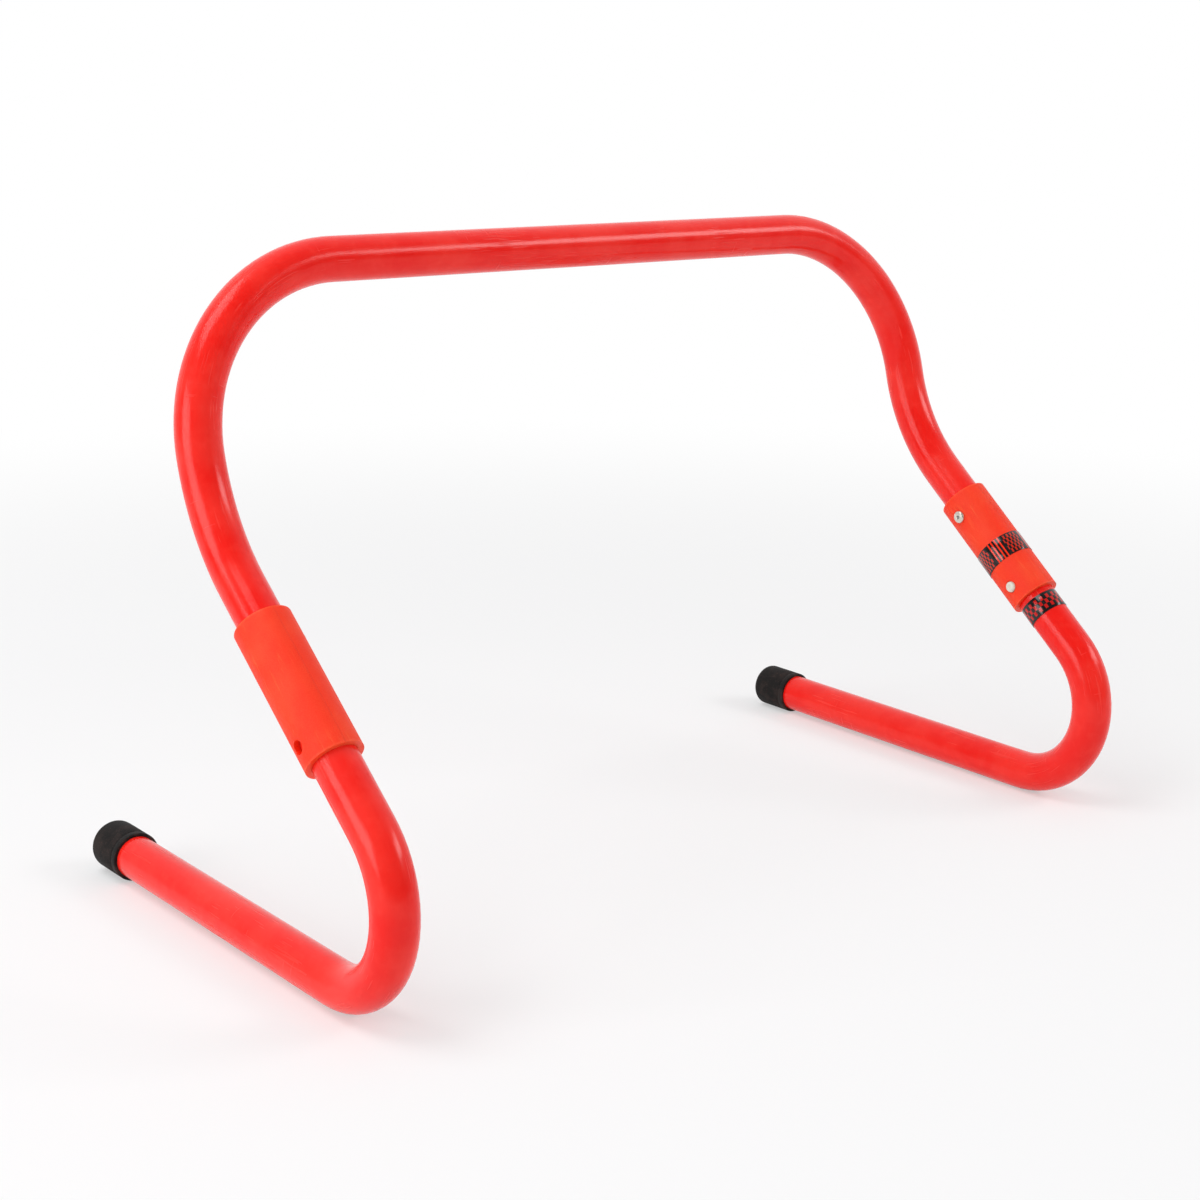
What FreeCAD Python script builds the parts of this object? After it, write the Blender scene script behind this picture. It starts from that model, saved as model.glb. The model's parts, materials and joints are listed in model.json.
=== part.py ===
import FreeCAD, Part
import math
import os

import Sketcher

# Agility hurdle: a bent tube hoop held by two straight sleeves on two J-shaped legs.
# Each leg can be turned half a turn in its sleeve, which sets the other height of the bar.
# +X runs along the bar, +Y from the front bends back to the foot caps, +Z up.
# The origin is on the floor, midway between the legs and midway front to back.
# Lengths are in millimetres and angles in degrees.

SIZES = [
    ("leg_spacing", 432.0, "between the two leg centre lines"),
    ("tube_radius", 10.0, "outside of the hoop and leg tubes"),
    ("tube_wall", 1.8, "wall of the hoop and leg tubes"),
    ("sleeve_angle", 40.0, "rise of the sleeves above the floor"),
    ("sleeve_length", 68.0, "length of each sleeve"),
    ("sleeve_wall", 2.6, "wall of each sleeve"),
    ("sleeve_clearance", 0.08, "radial gap between a tube and its sleeve"),
    ("leg_depth", 31.0, "length of a leg inside its sleeve"),
    ("tube_end_gap", 6.0, "between the ends of leg and hoop inside a sleeve"),
    ("leg_straight", 33.0, "straight of a leg between its bend and its sleeve"),
    ("bend_radius", 42.0, "centre line of the bend between leg and foot"),
    ("foot_run", 170.0, "from the front bend to the rim of the foot cap"),
    ("hoop_straight", 20.0, "straight of the hoop above each sleeve"),
    ("lean_radius", 95.0, "centre line of the hoop's lean bend"),
    ("lean_angle", 36.0, "turn of the hoop's lean bend"),
    ("corner_radius", 78.0, "centre line of the bends at the ends of the bar"),
    ("cap_depth", 20.0, "length of the foot inside its cap"),
    ("cap_wall", 1.5, "side wall of a foot cap"),
    ("cap_end", 4.5, "end wall of a foot cap"),
    ("cap_rounding", 4.0, "rounding of a foot cap's closed end"),
    ("cap_rim_rounding", 0.5, "rounding of a foot cap's rim"),
    ("cap_clearance", 0.05, "radial gap between a foot and its cap"),
    ("rivet_drop", 11.0, "from a sleeve's top down to its rivet"),
    ("rivet_radius", 1.6, "shank of a rivet"),
    ("rivet_head_radius", 3.2, "head of a rivet"),
    ("rivet_head_height", 1.3, "head of a rivet above the sleeve"),
    ("rivet_head_rounding", 1.0, "rounding of a rivet's head"),
    ("rivet_bulb_radius", 2.4, "set end of a rivet inside the hoop"),
    ("rivet_bulb_length", 3.0, "set end of a rivet inside the hoop"),
    ("rivet_clearance", 0.05, "radial gap between a rivet and its holes"),
    ("pin_radius", 0.9, "pin left inside each rivet"),
    ("pin_head_radius", 1.8, "head of that pin behind the rivet's set end"),
    ("pin_head_length", 1.5, "length of that head"),
    ("pin_recess", 0.4, "depth of the pin below the top of the rivet head"),
    ("pin_clearance", 0.03, "radial gap between a pin and its rivet"),
    ("button_rise", 9.0, "from a sleeve's bottom up to its snap button"),
    ("button_radius", 2.8, "nose of a snap button"),
    ("button_proud", 0.9, "height of a pressed-out button above its sleeve"),
    ("button_rounding", 1.2, "rounding of the nose"),
    ("button_collar", 1.0, "extra radius of the collar behind the nose"),
    ("button_collar_depth", 1.0, "thickness of that collar"),
    ("button_dimple", 0.9, "radius of the dimple in the nose"),
    ("button_dimple_depth", 0.4, "depth of the dimple in the nose"),
    ("button_clearance", 0.1, "radial gap between a button and the leg's hole"),
    ("button_lead", 0.25, "radial gap between a button and the sleeve's holes"),
    ("seat_gap", 0.05, "gap between a button and its seats"),
    ("spring_width", 5.0, "width of the button's spring strip"),
    ("spring_thick", 0.5, "thickness of that strip"),
    ("spring_arm", 24.0, "long arm, from the button down to the strip's bend"),
    ("spring_back", 16.0, "short arm against the tube's far wall"),
    ("spring_gap", 0.15, "gap between the short arm's edges and the tube"),
    ("sleeve_band_rise", 22.5, "from the sleeve's bottom up to its printed band"),
    ("sleeve_band_width", 12.0, "width of the printed band on the sleeve"),
    ("leg_band_drop", 3.0, "from the sleeve's bottom down to the leg's band"),
    ("leg_band_width", 10.0, "width of the printed band on the leg"),
    ("band_thick", 0.25, "film of the printed bands"),
    ("band_clearance", 0.02, "radial gap under the printed bands"),
]

doc = FreeCAD.newDocument("agility_hurdle")
sheet = doc.addObject("Spreadsheet::Sheet", "Sizes")
size = {}
for row, (name, number, note) in enumerate(SIZES, start=1):
    sheet.set("A%d" % row, name)
    sheet.set("B%d" % row, str(number))
    sheet.set("C%d" % row, note)
    sheet.setAlias("B%d" % row, name)
    size[name] = number
doc.recompute()


def cell(text):
    """Put the sheet's name in front of every size named in an expression."""
    out = []
    word = ""
    for letter in text + " ":
        if letter.isalnum() or letter == "_":
            word += letter
            continue
        out.append("Sizes." + word if word in size else word)
        out.append(letter)
        word = ""
    return "".join(out).strip()


class Formula:
    """A size worked out from the sheet: its number now, and its expression for later."""

    def __init__(self, text, number):
        self.text = text
        self.number = number

    def __add__(self, other):
        other = formula(other)
        return Formula("(%s + %s)" % (self.text, other.text), self.number + other.number)

    def __sub__(self, other):
        other = formula(other)
        return Formula("(%s - %s)" % (self.text, other.text), self.number - other.number)

    def __mul__(self, other):
        other = formula(other)
        return Formula("(%s * %s)" % (self.text, other.text), self.number * other.number)

    def __truediv__(self, other):
        other = formula(other)
        return Formula("(%s / %s)" % (self.text, other.text), self.number / other.number)

    def __neg__(self):
        return Formula("(0 - %s)" % self.text, -self.number)


def formula(item):
    """A named size, a plain number or a formula, as a formula."""
    if isinstance(item, Formula):
        return item
    if isinstance(item, str):
        return Formula(cell(item), size[item])
    return Formula(repr(float(item)), float(item))


def sine(angle):
    angle = formula(angle)
    return Formula("sin(%s * 1 deg)" % angle.text, math.sin(math.radians(angle.number)))


def cosine(angle):
    angle = formula(angle)
    return Formula("cos(%s * 1 deg)" % angle.text, math.cos(math.radians(angle.number)))


def arc_sine(ratio):
    number = math.degrees(math.asin(ratio.number))
    return Formula("(asin(%s) / 1 deg)" % ratio.text, number)


def root(square):
    return Formula("sqrt(%s)" % square.text, math.sqrt(square.number))


def leg_of(long_side, short_side):
    """The third side of a right triangle, such as a chord's height in a round bore."""
    return root(long_side * long_side - short_side * short_side)


tube_bore = formula("tube_radius") - "tube_wall"
sleeve_bore = formula("tube_radius") + "sleeve_clearance"
sleeve_outside = sleeve_bore + "sleeve_wall"
cap_bore = formula("tube_radius") + "cap_clearance"
cap_outside = cap_bore + "cap_wall"
# The caps are fatter than the tube, so the feet rise a little towards them.
foot_tilt = arc_sine((cap_outside - "tube_radius") / "foot_run")
foot_reach = (formula("foot_run") + "cap_depth" + "cap_end") * cosine(foot_tilt)
bend_y = (formula("bend_radius") + "tube_radius" - foot_reach) / 2
bend_end_y = -(formula("bend_radius") * sine("sleeve_angle"))
bend_end_z = formula("tube_radius") + formula("bend_radius") * (cosine("sleeve_angle") + 1)
# Centre of each sleeve's lower end.
sleeve_y = bend_y + bend_end_y + formula("leg_straight") * cosine("sleeve_angle")
sleeve_z = bend_end_z + formula("leg_straight") * sine("sleeve_angle")
sleeve_turn = formula("sleeve_angle") - 90
half_spacing = formula("leg_spacing") / 2
rivet_rise = formula("sleeve_length") - "rivet_drop"
# Flat faces of small round parts that bear on the inside of a tube.
bulb_face = leg_of(tube_bore, formula("rivet_bulb_radius"))
bulb_end = bulb_face - "rivet_bulb_length"
collar_radius = formula("button_radius") + "button_collar"
collar_face = leg_of(tube_bore - "seat_gap", collar_radius)
collar_back = collar_face - "button_collar_depth"

LEFT = 1
RIGHT = -1
SIDES = (("left", LEFT), ("right", RIGHT))


def placing(x, y, z, turn):
    """Expression of a placement: a point, and a turn about X in degrees."""
    point = "vector(%s; %s; %s)" % tuple(formula(v).text for v in (x, y, z))
    return "placement(%s; rotation(vector(1; 0; 0); %s))" % (point, formula(turn).text)


def new_body(label, x, y, z, turn):
    """A body placed by the sheet."""
    body = doc.addObject("PartDesign::Body", label)
    body.Label = label
    body.setExpression("Placement", placing(x, y, z, turn))
    return body


def sleeve_body(label, x):
    """A body whose Z axis runs up a sleeve from the centre of its lower end."""
    return new_body(label, x, sleeve_y, sleeve_z, sleeve_turn)


def own_plane(body, role):
    return [plane for plane in body.Origin.OriginFeatures if plane.Role == role][0]


def new_sketch(body, name, role, offset=None):
    """A sketch on one of the body's own planes, moved by an expression if one is given."""
    sketch = body.newObject("Sketcher::SketchObject", body.Name + "_" + name)
    sketch.AttachmentSupport = [(own_plane(body, role), "")]
    sketch.MapMode = "FlatFace"
    if offset:
        sketch.setExpression("AttachmentOffset", offset)
    return sketch


def fix(sketch, name, kind, places, target):
    """Add a named dimension and tie it to its formula."""
    target = formula(target)
    number = math.radians(target.number) if kind == "Angle" else target.number
    index = sketch.addConstraint(Sketcher.Constraint(kind, *places, number))
    sketch.renameConstraint(index, name)
    unit = "1 deg" if kind == "Angle" else "1 mm"
    sketch.setExpression("Constraints." + name, "%s * %s" % (target.text, unit))


ORIGIN_POINT = (-1, 1)
START, END, CENTRE = 1, 2, 3
NORMAL = FreeCAD.Vector(0, 0, 1)
FULL_TURN = 360.0
# A drilled hole runs this many outside radii from a tube's centre, so it leaves one wall only.
DRILL_REACH = 1.5
LEAST_CUT = 0.01
SAME = 0.001


def outline(sketch, corners):
    """A closed polygon whose corners are tied to formulas."""
    flat = [(formula(u), formula(v)) for u, v in corners]
    points = [FreeCAD.Vector(u.number, v.number, 0) for u, v in flat]
    count = len(points)
    for i in range(count):
        sketch.addGeometry(Part.LineSegment(points[i], points[(i + 1) % count]))
    for i in range(count):
        joint = (i, END, (i + 1) % count, START)
        sketch.addConstraint(Sketcher.Constraint("Coincident", *joint))
        fix(sketch, "u%d" % i, "DistanceX", ORIGIN_POINT + (i, START), flat[i][0])
        fix(sketch, "v%d" % i, "DistanceY", ORIGIN_POINT + (i, START), flat[i][1])


def circle(sketch, name, u, v, radius):
    """A circle tied to formulas."""
    u, v, radius = formula(u), formula(v), formula(radius)
    middle = FreeCAD.Vector(u.number, v.number, 0)
    index = sketch.addGeometry(Part.Circle(middle, NORMAL, radius.number))
    fix(sketch, name + "_u", "DistanceX", ORIGIN_POINT + (index, CENTRE), u)
    fix(sketch, name + "_v", "DistanceY", ORIGIN_POINT + (index, CENTRE), v)
    fix(sketch, name + "_radius", "Radius", (index,), radius)


def ring(sketch, inside, outside):
    """Two circles about the sketch's origin."""
    circle(sketch, "inside", 0, 0, inside)
    circle(sketch, "outside", 0, 0, outside)


def pad(body, name, sketch, length, both_ways=False):
    feature = body.newObject("PartDesign::Pad", body.Name + "_" + name)
    feature.Profile = sketch
    feature.setExpression("Length", "%s * 1 mm" % formula(length).text)
    if both_ways:
        feature.Midplane = True
    return feature


def drill(body, name, sketch, length, side):
    """Cut a hole towards +X (LEFT) or -X (RIGHT) and make sure that it cut."""
    doc.recompute()
    before = body.Shape.Volume
    feature = body.newObject("PartDesign::Pocket", body.Name + "_" + name)
    feature.Profile = sketch
    feature.setExpression("Length", "%s * 1 mm" % formula(length).text)
    feature.Reversed = side == LEFT
    doc.recompute()
    if body.Shape.Volume >= before - LEAST_CUT:
        raise RuntimeError(body.Label + ": " + name + " cut nothing")
    return feature


def turned(body, corners, rise=0):
    """A solid turned about the body's X axis at a height, from (x, radius) corners."""
    offset = placing(0, 0, rise, 0)
    sketch = new_sketch(body, "profile", "XY_Plane", offset)
    outline(sketch, corners)
    feature = body.newObject("PartDesign::Revolution", body.Name + "_turned")
    feature.Profile = sketch
    feature.ReferenceAxis = (sketch, ["H_Axis"])
    feature.Angle = FULL_TURN
    return feature


def round_edges(body, name, radius, wanted):
    """Fillet the circular edges that wanted(centre, radius) picks."""
    doc.recompute()
    base = body.Tip
    names = []
    for i, edge in enumerate(base.Shape.Edges, start=1):
        if isinstance(edge.Curve, Part.Circle) and wanted(edge.Curve.Center, edge.Curve.Radius):
            names.append("Edge%d" % i)
    if not names:
        raise RuntimeError(body.Label + ": no edge to round for " + name)
    feature = body.newObject("PartDesign::Fillet", body.Name + "_" + name)
    feature.Base = (base, names)
    feature.setExpression("Radius", "%s * 1 mm" % formula(radius).text)
    return feature


def pipe(body, name, profile, spine):
    feature = body.newObject("PartDesign::AdditivePipe", body.Name + "_" + name)
    feature.Profile = profile
    feature.Spine = (spine, [])
    return feature


def near(a, b):
    return abs(a - b) < SAME


def build_leg(word, side):
    """J-shaped leg: straight foot, round bend, and a straight up into the sleeve."""
    body = new_body(word + "_leg", half_spacing * -side, bend_y, 0, 0)
    spine = new_sketch(body, "spine", "YZ_Plane")
    centre_z = formula("tube_radius") + "bend_radius"
    foot_length = formula("foot_run") + "cap_depth" - formula("bend_radius") * sine(foot_tilt)
    top_length = formula("leg_straight") + "leg_depth"
    bend = size["bend_radius"]
    tilt = math.radians(foot_tilt.number)
    rise = math.radians(size["sleeve_angle"])
    middle = FreeCAD.Vector(0, centre_z.number, 0)
    low = middle + FreeCAD.Vector(bend * math.sin(tilt), -bend * math.cos(tilt), 0)
    high = middle + FreeCAD.Vector(-bend * math.sin(rise), bend * math.cos(rise), 0)
    foot_way = FreeCAD.Vector(math.cos(tilt), math.sin(tilt), 0)
    top_way = FreeCAD.Vector(math.cos(rise), math.sin(rise), 0)
    round_curve = Part.Circle(middle, NORMAL, bend)
    foot = spine.addGeometry(Part.LineSegment(low + foot_way * foot_length.number, low))
    arc = spine.addGeometry(
        Part.ArcOfCircle(round_curve, math.pi / 2 + rise, 3 * math.pi / 2 + tilt)
    )
    top = spine.addGeometry(Part.LineSegment(high, high + top_way * top_length.number))
    spine.addConstraint(Sketcher.Constraint("Tangent", foot, END, arc, END))
    spine.addConstraint(Sketcher.Constraint("Tangent", arc, START, top, START))
    spine.addConstraint(Sketcher.Constraint("PointOnObject", arc, CENTRE, -2))
    fix(spine, "centre_height", "DistanceY", ORIGIN_POINT + (arc, CENTRE), centre_z)
    fix(spine, "bend", "Radius", (arc,), "bend_radius")
    fix(spine, "foot", "Distance", (foot,), foot_length)
    fix(spine, "top", "Distance", (top,), top_length)
    fix(spine, "rise", "DistanceY", (top, START, top, END), top_length * sine("sleeve_angle"))
    fix(spine, "tilt", "DistanceY", (foot, END, foot, START), foot_length * sine(foot_tilt))
    along = formula("foot_run") + "cap_depth"
    start = placing(
        0,
        along * cosine(foot_tilt),
        formula("tube_radius") + along * sine(foot_tilt),
        foot_tilt + 90,
    )
    profile = new_sketch(body, "section", "XY_Plane", start)
    ring(profile, tube_bore, "tube_radius")
    pipe(body, "tube", profile, spine)
    hole = new_sketch(body, "button_hole", "YZ_Plane")
    reach = formula("leg_straight") + "button_rise"
    circle(
        hole,
        "hole",
        bend_end_y + reach * cosine("sleeve_angle"),
        bend_end_z + reach * sine("sleeve_angle"),
        formula("button_radius") + "button_clearance",
    )
    drill(body, "hole", hole, formula("tube_radius") * DRILL_REACH, side)
    return body


def build_sleeve(word, side):
    """Straight sleeve with one rivet hole and two opposite button holes."""
    body = sleeve_body(word + "_sleeve", half_spacing * -side)
    section = new_sketch(body, "section", "XY_Plane")
    ring(section, sleeve_bore, sleeve_outside)
    pad(body, "wall", section, "sleeve_length")
    rivet_hole = new_sketch(body, "rivet_hole", "YZ_Plane")
    circle(rivet_hole, "hole", 0, rivet_rise, formula("rivet_radius") + "rivet_clearance")
    drill(body, "rivet", rivet_hole, sleeve_outside * DRILL_REACH, side)
    for way, direction in (("inner", side), ("outer", -side)):
        button_hole = new_sketch(body, way + "_button_hole", "YZ_Plane")
        circle(button_hole, "hole", 0, "button_rise", formula("button_radius") + "button_lead")
        drill(body, way + "_button", button_hole, sleeve_outside * DRILL_REACH, direction)
    return body


def build_hoop():
    """Bar, two corner bends and two uprights that lean, as one tube."""
    body = sleeve_body("hoop_tube", 0)
    start_z = formula("leg_depth") + "tube_end_gap"
    lean_z = formula("sleeve_length") + "hoop_straight"
    lean = math.radians(size["lean_angle"])
    lean_radius = size["lean_radius"]
    across = placing(0, 0, -half_spacing, 0)
    spine = new_sketch(body, "upright_spine", "YZ_Plane", across)
    foot = FreeCAD.Vector(0, start_z.number, 0)
    knee = FreeCAD.Vector(0, lean_z.number, 0)
    middle = knee - FreeCAD.Vector(lean_radius, 0, 0)
    line = spine.addGeometry(Part.LineSegment(foot, knee))
    curve = Part.Circle(middle, NORMAL, lean_radius)
    arc = spine.addGeometry(Part.ArcOfCircle(curve, 0, lean))
    spine.addConstraint(Sketcher.Constraint("PointOnObject", line, START, -2))
    spine.addConstraint(Sketcher.Constraint("Vertical", line))
    spine.addConstraint(Sketcher.Constraint("Tangent", line, END, arc, START))
    fix(spine, "start", "DistanceY", ORIGIN_POINT + (line, START), start_z)
    fix(spine, "knee", "DistanceY", ORIGIN_POINT + (line, END), lean_z)
    fix(spine, "lean_radius", "Radius", (arc,), "lean_radius")
    lean_rise = formula("lean_radius") * sine("lean_angle")
    fix(spine, "lean_rise", "DistanceY", (arc, START, arc, END), lean_rise)
    section = new_sketch(body, "upright_section", "XY_Plane", placing(-half_spacing, 0, start_z, 0))
    ring(section, tube_bore, "tube_radius")
    upright = pipe(body, "upright", section, spine)
    rivet_hole = new_sketch(body, "rivet_hole", "YZ_Plane", across)
    circle(rivet_hole, "hole", 0, rivet_rise, formula("rivet_radius") + "rivet_clearance")
    hole = drill(body, "rivet", rivet_hole, formula("tube_radius") * DRILL_REACH, LEFT)
    top_y = -(formula("lean_radius") * (formula(1) - cosine("lean_angle")))
    top_z = lean_z + lean_rise
    bar_plane = placing(-half_spacing, top_y, top_z, formula("lean_angle") + 90)
    bar_spine = new_sketch(body, "bar_spine", "XY_Plane", bar_plane)
    corner = size["corner_radius"]
    middle = FreeCAD.Vector(corner, 0, 0)
    curve = Part.Circle(middle, NORMAL, corner)
    arc = bar_spine.addGeometry(Part.ArcOfCircle(curve, math.pi / 2, math.pi))
    bar_end = FreeCAD.Vector(corner, corner, 0)
    bar_middle = FreeCAD.Vector(half_spacing.number, corner, 0)
    line = bar_spine.addGeometry(Part.LineSegment(bar_end, bar_middle))
    bar_spine.addConstraint(Sketcher.Constraint("Tangent", arc, START, line, START))
    bar_spine.addConstraint(Sketcher.Constraint("Coincident", arc, END, -1, 1))
    bar_spine.addConstraint(Sketcher.Constraint("Horizontal", line))
    bar_spine.addConstraint(Sketcher.Constraint("PointOnObject", arc, CENTRE, -1))
    fix(bar_spine, "corner", "Radius", (arc,), "corner_radius")
    fix(bar_spine, "middle", "DistanceX", ORIGIN_POINT + (line, END), half_spacing)
    bar_start = placing(-half_spacing, top_y, top_z, "lean_angle")
    bar_section = new_sketch(body, "bar_section", "XY_Plane", bar_start)
    ring(bar_section, tube_bore, "tube_radius")
    bar = pipe(body, "bar", bar_section, bar_spine)
    doc.recompute()
    mirrored = body.newObject("PartDesign::Mirrored", "hoop_tube_mirrored")
    mirrored.Originals = [upright, hole, bar]
    mirrored.MirrorPlane = (own_plane(body, "YZ_Plane"), [""])
    body.Tip = mirrored
    return body


def build_rivet(word, side):
    """Hollow rivet that holds the hoop in a sleeve, set from the inner side."""
    body = sleeve_body(word + "_rivet", half_spacing * -side)
    head_top = sleeve_outside + "rivet_head_height"
    bore = formula("pin_radius") + "pin_clearance"
    corners = [
        (head_top, bore),
        (head_top, "rivet_head_radius"),
        (sleeve_outside, "rivet_head_radius"),
        (sleeve_outside, "rivet_radius"),
        (bulb_face, "rivet_radius"),
        (bulb_face, "rivet_bulb_radius"),
        (bulb_end, "rivet_bulb_radius"),
        (bulb_end, bore),
    ]
    turned(body, [(formula(u) * side, v) for u, v in corners], rivet_rise)
    top = head_top.number
    head = size["rivet_head_radius"]
    round_edges(
        body,
        "dome",
        "rivet_head_rounding",
        lambda c, r: near(abs(c.x), top) and near(r, head),
    )
    return body


def build_rivet_pin(word, side):
    """Stem of the rivet's setting pin, broken off inside the head."""
    body = sleeve_body(word + "_rivet_pin", half_spacing * -side)
    tip = sleeve_outside + "rivet_head_height" - "pin_recess"
    shoulder = bulb_end - "seat_gap"
    end = shoulder - "pin_head_length"
    corners = [
        (tip, 0),
        (tip, "pin_radius"),
        (shoulder, "pin_radius"),
        (shoulder, "pin_head_radius"),
        (end, "pin_head_radius"),
        (end, 0),
    ]
    turned(body, [(formula(u) * side, v) for u, v in corners], rivet_rise)
    return body


def build_button(word, side):
    """Snap button: a nose through the leg and the sleeve, and a collar behind it."""
    body = sleeve_body(word + "_button", half_spacing * -side)
    tip = sleeve_outside + "button_proud"
    floor = tip - "button_dimple_depth"
    corners = [
        (floor, 0),
        (floor, "button_dimple"),
        (tip, "button_dimple"),
        (tip, "button_radius"),
        (collar_face, "button_radius"),
        (collar_face, collar_radius),
        (collar_back, collar_radius),
        (collar_back, 0),
    ]
    turned(body, [(formula(u) * side, v) for u, v in corners], "button_rise")
    nose = size["button_radius"]
    round_edges(
        body,
        "nose",
        "button_rounding",
        lambda c, r: near(abs(c.x), tip.number) and near(r, nose),
    )
    return body


def build_button_spring(word, side):
    """Folded spring strip inside the leg: a long arm behind the button, a short one opposite."""
    body = sleeve_body(word + "_button_spring", half_spacing * -side)
    half_width = formula("spring_width") / 2
    long_face = collar_back - "seat_gap"
    short_face = leg_of(tube_bore - "spring_gap", half_width)
    fold = (long_face + short_face) / 2
    middle = (long_face - short_face) / 2
    fold_z = formula("button_rise") - "spring_arm"
    long_top = formula("button_rise") + collar_radius
    short_top = fold_z + "spring_back"
    sketch = new_sketch(body, "profile", "XZ_Plane")
    centre = FreeCAD.Vector(middle.number * side, fold_z.number, 0)
    inner = fold - "spring_thick"

    def spot(across, up):
        return FreeCAD.Vector(across.number * side, up.number, 0)

    def line(a, b):
        return sketch.addGeometry(Part.LineSegment(a, b))

    def half_circle(radius):
        curve = Part.Circle(centre, NORMAL, radius.number)
        return sketch.addGeometry(Part.ArcOfCircle(curve, math.pi, 2 * math.pi))

    outer_long = line(spot(middle + fold, fold_z), spot(middle + fold, long_top))
    long_end = line(spot(middle + fold, long_top), spot(middle + inner, long_top))
    inner_long = line(spot(middle + inner, long_top), spot(middle + inner, fold_z))
    inner_fold = half_circle(inner)
    inner_short = line(spot(middle - inner, fold_z), spot(middle - inner, short_top))
    short_end = line(spot(middle - inner, short_top), spot(middle - fold, short_top))
    outer_short = line(spot(middle - fold, short_top), spot(middle - fold, fold_z))
    outer_fold = half_circle(fold)
    on_long, on_short = (END, START) if side == LEFT else (START, END)
    for joint in (
        (outer_long, END, long_end, START),
        (long_end, END, inner_long, START),
        (inner_short, END, short_end, START),
        (short_end, END, outer_short, START),
    ):
        sketch.addConstraint(Sketcher.Constraint("Coincident", *joint))
    for joint in (
        (inner_long, END, inner_fold, on_long),
        (inner_fold, on_short, inner_short, START),
        (outer_short, END, outer_fold, on_short),
        (outer_fold, on_long, outer_long, START),
    ):
        sketch.addConstraint(Sketcher.Constraint("Tangent", *joint))
    sketch.addConstraint(Sketcher.Constraint("Vertical", outer_long))
    sketch.addConstraint(Sketcher.Constraint("Horizontal", long_end))
    sketch.addConstraint(Sketcher.Constraint("Horizontal", short_end))
    sketch.addConstraint(Sketcher.Constraint("Coincident", inner_fold, CENTRE, outer_fold, CENTRE))
    fix(sketch, "fold_across", "DistanceX", ORIGIN_POINT + (outer_fold, CENTRE), middle * side)
    fix(sketch, "fold_height", "DistanceY", ORIGIN_POINT + (outer_fold, CENTRE), fold_z)
    fix(sketch, "fold", "Radius", (outer_fold,), fold)
    fix(sketch, "inner_fold", "Radius", (inner_fold,), inner)
    fix(sketch, "long_top", "DistanceY", ORIGIN_POINT + (outer_long, END), long_top)
    fix(sketch, "short_top", "DistanceY", ORIGIN_POINT + (outer_short, START), short_top)
    pad(body, "strip", sketch, "spring_width", both_ways=True)
    return body


def build_foot_cap(word, side):
    """Rubber cup over the end of a foot, rounded at its closed end."""
    rim_y = bend_y + formula("foot_run") * cosine(foot_tilt)
    rim_z = formula("tube_radius") + formula("foot_run") * sine(foot_tilt)
    body = new_body(word + "_foot_cap", half_spacing * -side, rim_y, rim_z, foot_tilt)
    inside = formula("cap_depth") + "cap_clearance"
    end = formula("cap_depth") + "cap_end"
    sketch = new_sketch(body, "profile", "XY_Plane")
    corners = [
        (0, inside),
        (cap_bore, inside),
        (cap_bore, 0),
        (cap_outside, 0),
        (cap_outside, end),
        (0, end),
    ]
    outline(sketch, corners)
    feature = body.newObject("PartDesign::Revolution", body.Name + "_turned")
    feature.Profile = sketch
    feature.ReferenceAxis = (sketch, ["V_Axis"])
    feature.Angle = FULL_TURN
    round_edges(
        body,
        "end",
        "cap_rounding",
        lambda c, r: near(c.y, end.number) and near(r, cap_outside.number),
    )
    round_edges(
        body,
        "rim",
        "cap_rim_rounding",
        lambda c, r: near(c.y, 0) and near(r, cap_outside.number),
    )
    return body


def build_band(label, side, low, width, under):
    """Printed film wrapped round a tube or sleeve."""
    body = sleeve_body(label, half_spacing * -side)
    section = new_sketch(body, "section", "XY_Plane", placing(0, 0, low, 0))
    inside = formula(under) + "band_clearance"
    ring(section, inside, inside + "band_thick")
    pad(body, "film", section, width)
    return body


pieces = [build_hoop()]
for word, side in SIDES:
    pieces.append(build_leg(word, side))
    pieces.append(build_sleeve(word, side))
    pieces.append(build_rivet(word, side))
    pieces.append(build_rivet_pin(word, side))
    pieces.append(build_button(word, side))
    pieces.append(build_button_spring(word, side))
    pieces.append(build_foot_cap(word, side))
leg_band_low = -(formula("leg_band_drop") + "leg_band_width")
pieces.append(
    build_band("sleeve_band", RIGHT, "sleeve_band_rise", "sleeve_band_width", sleeve_outside)
)
pieces.append(build_band("leg_band", RIGHT, leg_band_low, "leg_band_width", "tube_radius"))
doc.recompute()

for item in doc.Objects:
    if "Invalid" in item.State or "Error" in item.State:
        raise RuntimeError(item.Name + " is " + " ".join(item.State))
for body in pieces:
    if body.Shape.isNull() or not body.Shape.isValid() or len(body.Shape.Solids) != 1:
        raise RuntimeError(body.Label + " has no single valid solid")

os.makedirs("parts", exist_ok=True)
for body in pieces:
    body.Shape.exportStep("parts/" + body.Label + ".step")
    print("%-22s %9.1f mm3" % (body.Label, body.Shape.Volume))
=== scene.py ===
import json
import math

import bmesh
import bpy
from bpy.props import FloatProperty, FloatVectorProperty, PointerProperty
from mathutils import Matrix, Vector, kdtree


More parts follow.
